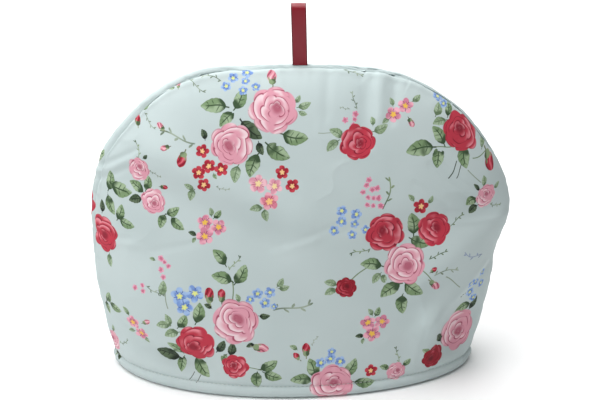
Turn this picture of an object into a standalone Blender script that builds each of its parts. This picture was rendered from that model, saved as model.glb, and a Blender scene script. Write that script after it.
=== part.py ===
# Dome-shaped tea cosy of wadded cotton, standing opened on its hem.
# Two panels, each with its own turned hem, meet along one seam that runs up the left side, over the top
# and down the right side. A folded ribbon stands on the middle of the seam as the lifting loop.
# Metres, +Z up, the front panel towards -Y, the origin under the middle of the cosy.
import bpy
import numpy as np

# Driving dimensions.
HEIGHT = 0.263           # from the hem to the top of the seam
HALF_DEPTH = 0.0742      # from the seam to the middle of the hem, front and back
WALL = 0.006             # outer cloth and wadding together
GAP = 0.0003             # clearance between touching pieces
SHOULDER = 0.190         # height where the side seams turn into the arch
LEVEL_HEM = 0.024        # below this height the rows of the grid lie level
FRONT_SKEW = 0.06        # the front stands fuller on the left than on the right
BACK_SKEW = 0.0
FLANK_POWER = 1.6        # the middle of a panel falls as (1 - (z / HEIGHT) ** 1.6) ** 0.55
TOP_POWER = 0.55

# Hem roll: how far the cloth stands out from the plain wall at each height.
HEM_ROLL = [
    # height, out
    (0.0000, -0.0024),
    (0.0015, -0.0002),
    (0.0045, 0.0012),
    (0.0078, 0.0008),
    (0.0100, -0.0016),
    (0.0125, -0.0022),
    (0.0165, -0.0010),
    (0.0240, 0.0000),
]

# The seam, seen from the front: how far it stands left and right of the middle at each height.
SEAM = [
    # height, left, right
    (0.000, 0.1615, 0.1485),
    (0.014, 0.1640, 0.1510),
    (0.030, 0.1665, 0.1545),
    (0.052, 0.1700, 0.1590),
    (0.088, 0.1750, 0.1645),
    (0.101, 0.1750, 0.1650),
    (0.119, 0.1750, 0.1690),
    (0.138, 0.1750, 0.1745),
    (0.150, 0.1740, 0.1745),
    (0.173, 0.1690, 0.1675),
    (0.191, 0.1630, 0.1580),
    (0.208, 0.1520, 0.1455),
    (0.225, 0.1360, 0.1315),
    (0.242, 0.1160, 0.1085),
    (0.252, 0.0975, 0.0890),
    (0.259, 0.0790, 0.0640),
    (0.262, 0.0440, 0.0330),
    (HEIGHT, 0.0, 0.0),
]

# Folds of each panel: a soft ridge (out > 0) or trough (out < 0) along a line from one end to the other.
FRONT_FOLDS = [
    # from x, from z, to x, to z, half width, out
    (-0.112, 0.196, -0.010, 0.152, 0.016, 0.0035),
    (-0.122, 0.177, -0.022, 0.138, 0.016, -0.0040),
    (-0.140, 0.080, -0.070, 0.055, 0.028, 0.0035),
    (-0.150, 0.036, -0.085, 0.022, 0.014, -0.0070),
    (0.085, 0.136, 0.165, 0.153, 0.015, -0.0050),
    (0.166, 0.131, 0.098, 0.097, 0.014, 0.0045),
    (0.152, 0.102, 0.110, 0.058, 0.012, 0.0050),
    (0.110, 0.058, 0.106, 0.024, 0.012, 0.0050),
    (0.160, 0.085, 0.138, 0.050, 0.018, -0.0090),
    (0.138, 0.050, 0.132, 0.026, 0.018, -0.0090),
    (0.010, 0.065, 0.080, 0.045, 0.026, -0.0030),
]
BACK_FOLDS = [
    # from x, from z, to x, to z, half width, out
    (-0.120, 0.180, -0.020, 0.140, 0.022, -0.0035),
    (-0.060, 0.105, 0.060, 0.080, 0.030, 0.0030),
    (0.060, 0.170, 0.140, 0.140, 0.020, 0.0035),
    (0.135, 0.085, 0.110, 0.030, 0.018, -0.0060),
    (-0.145, 0.060, -0.115, 0.026, 0.018, -0.0050),
]

# Ribbon loop.
RIBBON_WIDTH = 0.012
RIBBON_THICK = 0.001
LOOP_HEIGHT = 0.0495     # above the seam
LOOP_OPEN = 0.0095       # widest distance between the outer faces of the two runs
LOOP_FOOT = 0.0030       # both runs lie together over this height where they leave the seam
LOOP_LEAN = -0.0012      # the top of the loop leans a little to the left

COLUMNS = 36
HEM_ROWS = [0.0, 0.0015, 0.0045, 0.0078, 0.0100, 0.0125, 0.0165, LEVEL_HEM]
BODY_ROWS = 14

CLOTH_COLOUR = (0.66, 0.72, 0.69, 1.0)
BACK_COLOUR = (0.62, 0.69, 0.66, 1.0)
RIBBON_COLOUR = (0.30, 0.01, 0.03, 1.0)


def smooth_through(points, steps=24):
    """A smooth curve through points: cubic pieces whose slopes are the mean slopes of their neighbours."""
    points = np.array(points, float)
    along = np.concatenate([[0.0], np.cumsum(np.linalg.norm(np.diff(points, axis=0), axis=1))])
    slope = np.gradient(points, along, axis=0)
    start, end = points[:-1, None], points[1:, None]
    span = np.diff(along)[:, None, None]
    t = np.linspace(0.0, 1.0, steps, endpoint=False)[None, :, None]
    curve = (start * (1 + 2 * t) * (1 - t) ** 2 + end * t ** 2 * (3 - 2 * t)
             + slope[:-1, None] * span * t * (1 - t) ** 2 - slope[1:, None] * span * t ** 2 * (1 - t))
    return np.vstack([curve.reshape(-1, points.shape[1]), points[-1]])


def set_in(curve, distance):
    """The curve moved to its right-hand side by a distance, as an inner line lies inside an outer one."""
    along = np.gradient(curve, axis=0)
    along /= np.linalg.norm(along, axis=1)[:, None]
    return curve + distance * np.stack([along[:, 1], -along[:, 0]], axis=1)


def seam_line(inset):
    """The seam from the left corner of the hem over the top to the right corner, set in by the wall."""
    left = [(-row[1], row[0]) for row in SEAM]
    right = [(row[2], row[0]) for row in reversed(SEAM[:-1])]
    below_left = (left[0][0], -0.010)
    below_right = (right[-1][0], -0.010)
    return set_in(smooth_through([below_left] + left + right + [below_right]), inset)


def middle_profile(inset):
    """Half depth of the cosy against height along the middle of a panel, set in by the wall."""
    turn = np.linspace(0.0, 1.0, 160)
    height = HEIGHT * (1.0 - turn ** 2)
    depth = HALF_DEPTH * (1.0 - (height / HEIGHT) ** FLANK_POWER) ** TOP_POWER
    curve = np.stack([depth, height], axis=1)
    below = np.array([[HALF_DEPTH, -0.010]])
    return set_in(np.vstack([curve, below]), inset)


def fold_out(folds, x, z):
    """How far the folds push the cloth out: each one is a bell across its line that dies away past its ends."""
    out = np.zeros_like(x)
    for from_x, from_z, to_x, to_z, half_width, height in folds:
        run = np.array([to_x - from_x, to_z - from_z])
        length = np.hypot(*run)
        run /= length
        along = (x - from_x) * run[0] + (z - from_z) * run[1]
        across = (z - from_z) * run[0] - (x - from_x) * run[1]
        past = np.maximum(0.0, np.maximum(-along, along - length))
        out += height * np.exp(-(across / half_width) ** 2 - (past / (1.3 * half_width)) ** 2)
    return out


def panel_face(side, skew, folds, inset):
    """One face of a panel as a grid of points. side is -1 for the front and +1 for the back.

    A row at height h runs from seam to seam: x goes with the sine of an angle from -90 to 90 degrees, so
    each level section is half an ellipse. The rows lie level at the hem and bow up to the arch at the top.
    """
    seam = seam_line(inset)
    top = int(np.argmax(seam[:, 1]))
    left, right = seam[:top + 1], seam[top:][::-1]
    shoulder = SHOULDER if inset == 0.0 else SHOULDER - 0.75 * inset
    body = np.sin(np.linspace(0.0, np.pi / 2, BODY_ROWS + 1))[1:]
    heights = np.concatenate([HEM_ROWS, LEVEL_HEM + (shoulder - LEVEL_HEM) * body])
    turn = np.sin(np.linspace(-np.pi / 2, np.pi / 2, COLUMNS + 1))
    row_left = np.interp(heights, left[:, 1], left[:, 0])
    row_right = np.interp(heights, right[:, 1], right[:, 0])
    middle = (row_left + row_right) / 2
    half = (row_right - row_left) / 2
    x = middle[:, None] + half[:, None] * turn[None, :]
    bow = np.clip((heights - LEVEL_HEM) / (shoulder - LEVEL_HEM), 0.0, 1.0) ** 1.5
    arch = seam[np.argmin(seam[:, 0]):np.argmax(seam[:, 0]) + 1]
    top_row = np.interp(x[-1], arch[:, 0], arch[:, 1])
    z = heights[:, None] + bow[:, None] * (top_row[None, :] - shoulder)
    z = np.minimum(z, np.interp(x, arch[:, 0], arch[:, 1]))

    profile = middle_profile(inset)
    depth = np.interp(z, profile[::-1, 1], profile[::-1, 0])
    at_left = np.interp(z, left[:, 1], left[:, 0])
    at_right = np.interp(z, right[:, 1], right[:, 0])
    across = np.clip((2 * x - at_left - at_right) / np.maximum(at_right - at_left, 1e-6), -1.0, 1.0)
    out = depth * np.sqrt(1.0 - across ** 2) * (1.0 - skew * across)
    rising = np.clip((z - 0.010) / 0.020, 0.0, 1.0)
    out += fold_out(folds, x, z) * (1.0 - across ** 8) * rising ** 2 * (3 - 2 * rising)

    if inset == 0.0:
        roll = np.interp(z, *np.array(HEM_ROLL).T)
        sideways = across / half[:, None]
        forward = np.sqrt(1.0 - across ** 2) / np.maximum(depth, 1e-6)
        length = np.hypot(sideways, forward)
        x = x + roll * sideways / length
        out = out + roll * forward / length
    out[:, 0] = out[:, -1] = out[-1, :] = 0.0
    y = side * (out + GAP / 2)
    return np.stack([x, y, z], axis=-1)


def grid_faces(rows, columns, first, flip):
    """Quads of a grid of points, numbered row by row from first."""
    index = first + np.arange(rows * columns).reshape(rows, columns)
    quads = np.stack([index[:-1, :-1], index[:-1, 1:], index[1:, 1:], index[1:, :-1]], axis=-1).reshape(-1, 4)
    return quads[:, ::-1] if flip else quads


def edge_faces(outer, inner, flip):
    """Quads that close the wall between an outer edge and the inner edge beside it."""
    quads = np.stack([outer[:-1], outer[1:], inner[1:], inner[:-1]], axis=-1)
    return quads[:, ::-1] if flip else quads


def new_object(name, points, faces, colour, roughness):
    mesh = bpy.data.meshes.new(name)
    mesh.from_pydata(points.tolist(), [], [tuple(face) for face in faces])
    mesh.validate()
    mesh.shade_smooth()
    mesh.set_sharp_from_angle(angle=np.radians(40))
    material = bpy.data.materials.new(name + "_finish")
    material.use_nodes = True
    shader = material.node_tree.nodes["Principled BSDF"]
    shader.inputs["Base Color"].default_value = colour
    shader.inputs["Roughness"].default_value = roughness
    shader.inputs["Metallic"].default_value = 0.0
    mesh.materials.append(material)
    made = bpy.data.objects.new(name, mesh)
    collection.objects.link(made)
    return made


def make_panel(name, side, skew, folds, colour):
    """A wadded panel: the outer face, the inner face, and the strips that join them at the seam and the hem."""
    outer = panel_face(side, skew, folds, 0.0)
    inner = panel_face(side, skew, folds, WALL)
    rows, columns = outer.shape[:2]
    count = rows * columns
    facing = side < 0
    index = np.arange(count).reshape(rows, columns)
    around = np.concatenate([index[:, 0], index[-1, 1:], index[-2::-1, -1]])
    faces = [
        grid_faces(rows, columns, 0, not facing),
        grid_faces(rows, columns, count, facing),
        edge_faces(around, around + count, not facing),
        edge_faces(index[0, ::-1], index[0, ::-1] + count, not facing),
    ]
    points = np.vstack([outer.reshape(-1, 3), inner.reshape(-1, 3)])
    return new_object(name, points, np.vstack(faces), colour, 0.85)


def make_ribbon():
    """A ribbon folded in two: a teardrop-shaped loop seen from the side, its two runs together at the foot."""
    rise = LOOP_HEIGHT - LOOP_FOOT - LOOP_OPEN / 2
    t = np.linspace(0.0, 1.0, 9)
    spread = RIBBON_THICK + GAP + (LOOP_OPEN / 2 - RIBBON_THICK - GAP) * np.sin(t * np.pi / 2) ** 1.5
    bend = np.linspace(0.0, np.pi, 13)[1:-1]
    outer_y = np.concatenate([[RIBBON_THICK], spread, LOOP_OPEN / 2 * np.cos(bend), -spread[::-1], [-RIBBON_THICK]])
    outer_z = np.concatenate([[0.0], LOOP_FOOT + rise * t, LOOP_FOOT + rise + LOOP_OPEN / 2 * np.sin(bend),
                              (LOOP_FOOT + rise * t)[::-1], [0.0]])
    line = np.stack([outer_y, outer_z], axis=1)
    inside = set_in(line[::-1], RIBBON_THICK)[::-1][1:-1]
    foot = HEIGHT + GAP
    half = RIBBON_WIDTH / 2
    lean = LOOP_LEAN / LOOP_HEIGHT

    def ring(section, x):
        return np.stack([x + lean * section[:, 1], section[:, 0], foot + section[:, 1]], axis=1)

    points = np.vstack([ring(line, -half), ring(line, half), ring(inside, -half), ring(inside, half)])
    n, m = len(line), len(inside)
    outer_left, outer_right = np.arange(n), n + np.arange(n)
    inner_left, inner_right = 2 * n + np.arange(m), 2 * n + m + np.arange(m)
    faces = []
    for k in range(n - 1):
        faces.append((outer_left[k + 1], outer_right[k + 1], outer_right[k], outer_left[k]))
    faces.append((outer_left[0], outer_right[0], outer_right[-1], outer_left[-1]))
    for k in range(m):
        back = (k + 1) % m
        faces.append((inner_left[k], inner_right[k], inner_right[back], inner_left[back]))
    for k in range(m - 1):
        faces.append((inner_left[k], inner_left[k + 1], outer_left[k + 2], outer_left[k + 1]))
        faces.append((inner_right[k + 1], inner_right[k], outer_right[k + 1], outer_right[k + 2]))
    faces.append((outer_left[-1], outer_left[-2], inner_left[-1], inner_left[0], outer_left[1], outer_left[0]))
    faces.append((outer_right[0], outer_right[1], inner_right[0], inner_right[-1], outer_right[-2],
                  outer_right[-1]))
    return new_object("ribbon_loop", points, faces, RIBBON_COLOUR, 0.3)


for old in list(bpy.data.objects):
    bpy.data.objects.remove(old, do_unlink=True)
collection = bpy.data.collections.new("tea_cosy")
bpy.context.scene.collection.children.link(collection)

make_panel("front_panel", -1, FRONT_SKEW, FRONT_FOLDS, CLOTH_COLOUR)
make_panel("back_panel", 1, BACK_SKEW, BACK_FOLDS, BACK_COLOUR)
make_ribbon()
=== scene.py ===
# A padded tea cosy of flower-printed cotton, standing opened on its hem, with a satin ribbon loop on top.
import math
import bpy
import numpy as np
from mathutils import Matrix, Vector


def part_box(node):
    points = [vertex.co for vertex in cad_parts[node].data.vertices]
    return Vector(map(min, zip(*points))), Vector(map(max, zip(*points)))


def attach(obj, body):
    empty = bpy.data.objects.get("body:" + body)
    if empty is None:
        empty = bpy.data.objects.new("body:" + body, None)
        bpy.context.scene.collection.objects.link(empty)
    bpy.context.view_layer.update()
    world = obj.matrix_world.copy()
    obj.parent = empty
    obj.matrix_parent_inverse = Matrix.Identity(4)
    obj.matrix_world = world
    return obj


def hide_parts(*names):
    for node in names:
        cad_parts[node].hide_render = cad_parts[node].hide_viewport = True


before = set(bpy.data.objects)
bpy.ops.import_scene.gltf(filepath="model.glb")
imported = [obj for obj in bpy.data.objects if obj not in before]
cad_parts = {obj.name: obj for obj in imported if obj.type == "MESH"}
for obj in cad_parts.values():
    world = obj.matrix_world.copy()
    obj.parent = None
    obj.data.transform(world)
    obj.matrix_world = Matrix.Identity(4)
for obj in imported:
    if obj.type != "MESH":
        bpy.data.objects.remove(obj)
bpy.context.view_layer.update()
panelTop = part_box("front_panel")[1][2]
ribbonLow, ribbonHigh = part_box("ribbon_loop")

# ---------- the two panels ----------
cosy = {
    "height": panelTop,             # hem to the top of the seam
    "halfDepth": 0.0742,            # seam to the middle of the hem
    "wall": 0.006,                  # cloth and padding together
    "gap": 0.0003,
    "shoulder": 0.190,              # where the side seams turn into the arch
    "levelHem": 0.024,              # the rows of the cloth lie level below this height
    "flankPower": 1.6,
    "topPower": 0.55,
    "skew": {"front": 0.06, "back": 0.0},
    "columns": 360,
    "hemRows": 30,
    "bodyRows": 200,
    "coarser": 5,                   # one row or column of the inner face for so many of the outer one
    "stripRows": 8,
}

# How far the seam stands left and right of the middle at each height.
seamTable = [
    # height, left, right
    (0.000, 0.1615, 0.1485),
    (0.014, 0.1640, 0.1510),
    (0.030, 0.1665, 0.1545),
    (0.052, 0.1700, 0.1590),
    (0.088, 0.1750, 0.1645),
    (0.101, 0.1750, 0.1650),
    (0.119, 0.1750, 0.1690),
    (0.138, 0.1750, 0.1745),
    (0.150, 0.1740, 0.1745),
    (0.173, 0.1690, 0.1675),
    (0.191, 0.1630, 0.1580),
    (0.208, 0.1520, 0.1455),
    (0.225, 0.1360, 0.1315),
    (0.242, 0.1160, 0.1085),
    (0.252, 0.0975, 0.0890),
    (0.259, 0.0790, 0.0640),
    (0.262, 0.0440, 0.0330),
    (cosy["height"], 0.0, 0.0),
]

# The seam isn't on the very edge: it is drawn this far to the front at each place across the width.
seamDrawn = [
    # across, drawn to the front
    (-0.175, 0.0140),
    (-0.150, 0.0120),
    (-0.100, 0.0060),
    (0.000, 0.0030),
    (0.100, 0.0015),
    (0.175, 0.0006),
]

# How far the hem's roll stands out of the plain wall; the dip is where the topstitching draws it in.
hemRoll = [
    # height, out
    (0.0000, -0.0030),
    (0.0008, -0.0012),
    (0.0022, 0.0004),
    (0.0046, 0.0015),
    (0.0074, 0.0012),
    (0.0092, -0.0001),
    (0.0104, -0.0019),
    (0.0116, -0.0012),
    (0.0140, -0.0006),
    (0.0180, -0.0004),
    (0.0260, 0.0000),
]
stitchHeight = 0.0104

# Folds: a soft ridge (out > 0) or trough (out < 0) along a line, given across and up the cosy.
folds = {
    "front": [
        # from x, from z, to x, to z, half width, out
        (-0.112, 0.196, -0.010, 0.152, 0.016, 0.0035),
        (-0.122, 0.177, -0.022, 0.138, 0.016, -0.0040),
        (-0.140, 0.080, -0.070, 0.055, 0.028, 0.0035),
        (-0.150, 0.036, -0.085, 0.022, 0.014, -0.0070),
        (0.085, 0.136, 0.165, 0.153, 0.015, -0.0050),
        (0.166, 0.131, 0.098, 0.097, 0.014, 0.0045),
        (0.152, 0.102, 0.110, 0.058, 0.012, 0.0050),
        (0.110, 0.058, 0.106, 0.024, 0.012, 0.0050),
        (0.160, 0.085, 0.138, 0.050, 0.018, -0.0090),
        (0.138, 0.050, 0.132, 0.026, 0.018, -0.0090),
        (0.010, 0.065, 0.080, 0.045, 0.026, -0.0030),
    ],
    "back": [
        (-0.120, 0.180, -0.020, 0.140, 0.022, -0.0035),
        (-0.060, 0.105, 0.060, 0.080, 0.030, 0.0030),
        (0.060, 0.170, 0.140, 0.140, 0.020, 0.0035),
        (0.135, 0.085, 0.110, 0.030, 0.018, -0.0060),
        (-0.145, 0.060, -0.115, 0.026, 0.018, -0.0050),
    ],
}

# Creases: the same, but narrow, pressed into the cloth alone.
creases = {
    "front": [
        # from x, from z, to x, to z, half width, out
        (-0.166, 0.181, -0.130, 0.201, 0.0022, -0.0007),
        (-0.168, 0.175, -0.134, 0.193, 0.0024, 0.0007),
        (-0.169, 0.169, -0.140, 0.184, 0.0022, -0.0006),
        (-0.168, 0.126, -0.140, 0.129, 0.0024, -0.0006),
        (-0.170, 0.120, -0.132, 0.124, 0.0026, 0.0005),
        (-0.118, 0.122, -0.085, 0.131, 0.0030, -0.0005),
        (0.104, 0.190, 0.139, 0.158, 0.0024, -0.0008),
        (0.112, 0.193, 0.146, 0.163, 0.0026, 0.0007),
        (0.092, 0.176, 0.118, 0.158, 0.0026, -0.0006),
        (0.118, 0.168, 0.158, 0.160, 0.0028, 0.0006),
        (0.120, 0.151, 0.163, 0.149, 0.0028, -0.0007),
        (0.128, 0.141, 0.170, 0.139, 0.0024, 0.0009),
        (-0.014, 0.132, 0.028, 0.147, 0.0030, -0.0006),
        (-0.020, 0.125, 0.022, 0.140, 0.0030, 0.0005),
        (0.018, 0.138, 0.060, 0.150, 0.0034, -0.0005),
        (0.052, 0.254, 0.049, 0.214, 0.0080, -0.0016),
        (0.064, 0.253, 0.062, 0.228, 0.0045, 0.0010),
        (0.076, 0.250, 0.072, 0.226, 0.0045, -0.0010),
        (0.022, 0.254, 0.020, 0.232, 0.0050, -0.0008),
        (-0.030, 0.255, -0.034, 0.236, 0.0050, -0.0007),
        (0.154, 0.100, 0.128, 0.076, 0.0030, 0.0010),
        (0.158, 0.094, 0.140, 0.074, 0.0028, -0.0010),
        (0.148, 0.070, 0.136, 0.040, 0.0030, 0.0010),
        (0.124, 0.062, 0.114, 0.030, 0.0026, -0.0009),
        (0.104, 0.052, 0.100, 0.022, 0.0026, -0.0006),
        (-0.136, 0.044, -0.104, 0.032, 0.0026, 0.0006),
        (-0.148, 0.052, -0.122, 0.040, 0.0026, -0.0006),
    ],
    "back": [
        (-0.150, 0.160, -0.110, 0.176, 0.0026, -0.0007),
        (-0.152, 0.150, -0.114, 0.166, 0.0026, 0.0006),
        (0.100, 0.186, 0.142, 0.160, 0.0028, -0.0007),
        (0.106, 0.174, 0.150, 0.150, 0.0028, 0.0006),
        (-0.020, 0.130, 0.030, 0.140, 0.0034, -0.0006),
        (0.052, 0.250, 0.050, 0.220, 0.0060, -0.0012),
        (-0.060, 0.250, -0.058, 0.222, 0.0060, -0.0011),
        (0.118, 0.060, 0.108, 0.026, 0.0030, -0.0008),
        (-0.126, 0.066, -0.112, 0.030, 0.0030, 0.0008),
    ],
}


def smoothThrough(points, steps=24):
    # cubic pieces through the points, the slope at each point the mean slope of its neighbours
    points = np.array(points, float)
    along = np.concatenate([[0.0], np.cumsum(np.linalg.norm(np.diff(points, axis=0), axis=1))])
    slope = np.gradient(points, along, axis=0)
    start, end = points[:-1, None], points[1:, None]
    span = np.diff(along)[:, None, None]
    t = np.linspace(0.0, 1.0, steps, endpoint=False)[None, :, None]
    curve = (start * (1 + 2 * t) * (1 - t) ** 2 + end * t ** 2 * (3 - 2 * t)
             + slope[:-1, None] * span * t * (1 - t) ** 2 - slope[1:, None] * span * t ** 2 * (1 - t))
    return np.vstack([curve.reshape(-1, points.shape[1]), points[-1]])


def setIn(curve, distance):
    # every point moved to the right-hand side of the way the curve runs
    along = np.gradient(curve, axis=0)
    along /= np.linalg.norm(along, axis=1)[:, None]
    return curve + distance * np.stack([along[:, 1], -along[:, 0]], axis=1)


def smoothStep(x, low, high):
    t = np.clip((x - low) / (high - low), 0.0, 1.0)
    return t * t * (3 - 2 * t)


def bells(rows, x, z):
    # each row adds a bell across its line, which dies away past the line's ends
    out = np.zeros_like(x)
    for fromX, fromZ, toX, toZ, halfWidth, height in rows:
        run = np.array([toX - fromX, toZ - fromZ])
        length = np.hypot(*run)
        run /= length
        along = (x - fromX) * run[0] + (z - fromZ) * run[1]
        across = (z - fromZ) * run[0] - (x - fromX) * run[1]
        past = np.maximum(0.0, np.maximum(-along, along - length))
        out += height * np.exp(-(across / halfWidth) ** 2 - (past / (1.3 * halfWidth)) ** 2)
    return out


def wander(u, v, spacing, seed):
    # value noise from -1 to 1: random heights on a square lattice, joined by smooth steps
    heights = np.random.default_rng(seed).uniform(-1.0, 1.0, (64, 64))
    a, b = u / spacing + 32.5, v / spacing + 32.5
    i, j = np.floor(a).astype(int), np.floor(b).astype(int)
    s, t = a - i, b - j
    s, t = s * s * (3 - 2 * s), t * t * (3 - 2 * t)
    i, j = i % 63, j % 63
    low = heights[i, j] * (1 - s) + heights[i + 1, j] * s
    high = heights[i, j + 1] * (1 - s) + heights[i + 1, j + 1] * s
    return low * (1 - t) + high * t


def panelShape(name, inset):
    # the seam seen from the front and the middle of the panel seen from the side, both set in by inset
    left = [(-row[1], row[0]) for row in seamTable]
    right = [(row[2], row[0]) for row in reversed(seamTable[:-1])]
    ends = [(left[0][0], -0.010)], [(right[-1][0], -0.010)]
    seam = setIn(smoothThrough(ends[0] + left + right + ends[1]), inset)
    top = int(np.argmax(seam[:, 1]))
    height = cosy["height"] * (1.0 - np.linspace(0.0, 1.0, 160) ** 2)
    depth = cosy["halfDepth"] * (1.0 - (height / cosy["height"]) ** cosy["flankPower"]) ** cosy["topPower"]
    profile = setIn(np.vstack([np.stack([depth, height], 1), [[cosy["halfDepth"], -0.010]]]), inset)
    return {
        "side": -1 if name == "front" else 1,
        "inset": inset,
        "left": seam[:top + 1],
        "right": seam[top:][::-1],
        "arch": seam[np.argmin(seam[:, 0]):np.argmax(seam[:, 0]) + 1],
        "profile": profile[::-1],
        "skew": cosy["skew"][name],
        "folds": folds[name],
        "creases": creases[name],
        "shoulder": cosy["shoulder"] - 0.75 * inset,
    }


def section(shape, x, z):
    # where a point lies in its level section: -1 to 1 across, the half width, the middle and the half depth
    atLeft = np.interp(z, shape["left"][:, 1], shape["left"][:, 0])
    atRight = np.interp(z, shape["right"][:, 1], shape["right"][:, 0])
    half = np.maximum(atRight - atLeft, 1e-6) / 2
    middle = (atLeft + atRight) / 2
    across = np.clip((x - middle) / half, -1.0, 1.0)
    return across, half, middle, np.interp(z, shape["profile"][:, 1], shape["profile"][:, 0])


def plainDepth(shape, x, z):
    # each level section is half an ellipse, a little fuller on one side
    across, half, middle, depth = section(shape, x, z)
    return depth * np.sqrt(1.0 - across ** 2) * (1.0 - shape["skew"] * across)


def onWall(shape, x, z):
    # the point of the wall at x and z: the half ellipse, pushed out by the folds and by the hem's roll
    across, half, middle, depth = section(shape, x, z)
    out = plainDepth(shape, x, z)
    out += bells(shape["folds"], x, z) * (1.0 - across ** 8) * smoothStep(z, 0.010, 0.030)
    if shape["inset"] == 0.0:
        line = smoothThrough(hemRoll, 8)
        roll = np.interp(z, line[:, 0], line[:, 1])
        sideways = across / half
        forward = np.sqrt(1.0 - across ** 2) / np.maximum(depth, 1e-6)
        length = np.hypot(sideways, forward)
        x = x + roll * sideways / length
        out = out + roll * forward / length
    return np.stack([x, shape["side"] * out, z], axis=-1)


def drawnAt(x):
    return np.interp(x, *np.array(seamDrawn).T)


def rowsAndColumns(shape, heights, share, drawn):
    # rows run from seam to seam by equal steps round an ellipse; they bow up from the level hem to the arch
    left, right, profile = shape["left"], shape["right"], shape["profile"]
    rowLeft = np.interp(heights, left[:, 1], left[:, 0])
    rowRight = np.interp(heights, right[:, 1], right[:, 0])
    middle, half = (rowLeft + rowRight) / 2, (rowRight - rowLeft) / 2
    fromAngle, toAngle = np.full_like(heights, -np.pi / 2), np.full_like(heights, np.pi / 2)
    if drawn:
        depth = np.interp(heights, profile[:, 1], profile[:, 0])
        fromAngle = -np.arccos(drawnAt(rowLeft) / (depth * (1 + shape["skew"])))
        toAngle = np.arccos(drawnAt(rowRight) / (depth * (1 - shape["skew"])))
    angle = fromAngle[:, None] + (toAngle - fromAngle)[:, None] * share[None, :]
    x = middle[:, None] + half[:, None] * np.sin(angle)
    arch = shape["arch"]
    edge = np.interp(x[-1], arch[:, 0], arch[:, 1])
    if drawn:
        drop = np.linspace(0.0, 0.030, 121)[:, None]
        deep = plainDepth(shape, np.broadcast_to(x[-1], (121, len(share))), edge - drop)
        wanted = drawnAt(x[-1])
        k = np.clip(np.argmax(deep >= wanted, axis=0), 1, 120)
        column = np.arange(len(share))
        low, high = deep[k - 1, column], deep[k, column]
        part = np.clip((wanted - low) / np.maximum(high - low, 1e-9), 0.0, 1.0)
        edge = edge - (drop[k - 1, 0] + part * (drop[k, 0] - drop[k - 1, 0]))
    bow = np.clip((heights - cosy["levelHem"]) / (shape["shoulder"] - cosy["levelHem"]), 0.0, 1.0) ** 1.5
    z = heights[:, None] + bow[:, None] * (edge - shape["shoulder"])[None, :]
    return x, np.minimum(z, np.interp(x, arch[:, 0], arch[:, 1]))


def rowHeights(shape, hemRows, bodyRows):
    hem = np.linspace(0.0, cosy["levelHem"], hemRows + 1)
    body = np.sin(np.linspace(0.0, np.pi / 2, bodyRows + 1))[1:]
    return np.concatenate([hem, cosy["levelHem"] + (shape["shoulder"] - cosy["levelHem"]) * body])


def columnShare(columns):
    # equal lengths of cloth round a typical section of the cosy
    angle = np.linspace(-np.pi / 2, np.pi / 2, 2001)
    length = np.cumsum(np.hypot(0.165 * np.cos(angle), 0.055 * np.sin(angle)))
    length = (length - length[0]) / (length[-1] - length[0])
    return (np.interp(np.linspace(0, 1, columns + 1), length, angle) + np.pi / 2) / np.pi


def clothLaidFlat(shape, x, z, columnLength):
    # across: the length round the level section from the middle of the cosy; up: the length up the column
    levels = np.linspace(0.0, cosy["height"] - 1e-4, 264)
    across, half, middle, depth = section(shape, np.zeros_like(levels), levels)
    angle = np.linspace(-np.pi / 2, np.pi / 2, 361)
    step = np.hypot(half[:, None] * np.cos(angle), depth[:, None] * np.sin(angle)) * (angle[1] - angle[0])
    length = np.cumsum(step, axis=1)
    length += middle[:, None] - length[:, 180:181]
    a = np.clip(z / levels[-1] * 263, 0.0, 262.999)
    b = np.clip((np.arcsin(section(shape, x, z)[0]) / np.pi + 0.5) * 360, 0.0, 359.999)
    i, j = a.astype(int), b.astype(int)
    s, t = a - i, b - j
    u = (length[i, j] * (1 - s) * (1 - t) + length[i + 1, j] * s * (1 - t)
         + length[i, j + 1] * (1 - s) * t + length[i + 1, j + 1] * s * t)
    return np.stack([u, columnLength], axis=-1)


def runningLength(points, axis):
    steps = np.linalg.norm(np.diff(points, axis=axis), axis=-1)
    start = np.zeros_like(np.take(steps, [0], axis=axis))
    return np.concatenate([start, np.cumsum(steps, axis=axis)], axis=axis)


def outward(points, side):
    # unit normals of a grid from its slopes along the rows and up the columns
    normal = np.cross(np.gradient(points, axis=1), np.gradient(points, axis=0)) * -side
    return normal / np.maximum(np.linalg.norm(normal, axis=-1, keepdims=True), 1e-12)


def clothRelief(shape, points, flat, fromSeam):
    # how far the finished cloth stands off the plain wall: padding, creases, seam and hem puckers
    u, v = flat[..., 0], flat[..., 1]
    x, z = points[..., 0], points[..., 2]
    seed = 11 if shape["side"] < 0 else 31
    offHem = smoothStep(v, 0.012, 0.035)
    relief = (0.0008 * wander(u, v, 0.060, seed) + 0.0004 * wander(u, v, 0.027, seed + 1)) * offHem
    folded = 1.0 - np.abs(wander(u + 0.3 * v, v - 0.4 * u, 0.021, seed + 2))
    patches = smoothStep(wander(u, v, 0.055, seed + 3), -0.1, 0.7)
    relief += 0.0004 * (folded ** 3 - 0.3) * patches * offHem
    relief += bells(shape["creases"], x, z)
    around = np.arctan2(z - 0.125, x) * 0.165
    ribs = wander(around, fromSeam * 0.25, 0.0052, seed + 4) + 0.6 * wander(around, fromSeam * 0.2, 0.011, seed + 5)
    relief += 0.00075 * ribs * np.exp(-fromSeam / 0.008) * smoothStep(fromSeam, 0.0, 0.003)
    relief += 0.0007 * np.exp(-((fromSeam - 0.0050) / 0.0032) ** 2)
    relief -= 0.0019 * np.exp(-(fromSeam / 0.0016) ** 1.5)
    nearStitch = np.exp(-((z - stitchHeight) / 0.0045) ** 2)
    hemRibs = wander(u, v * 0.3, 0.0024, seed + 6) + 0.7 * wander(u, v * 0.2, 0.0060, seed + 7)
    relief += 0.00032 * hemRibs * nearStitch * (0.6 + 0.4 * wander(u, v * 0, 0.03, seed + 8))
    return relief


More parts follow.
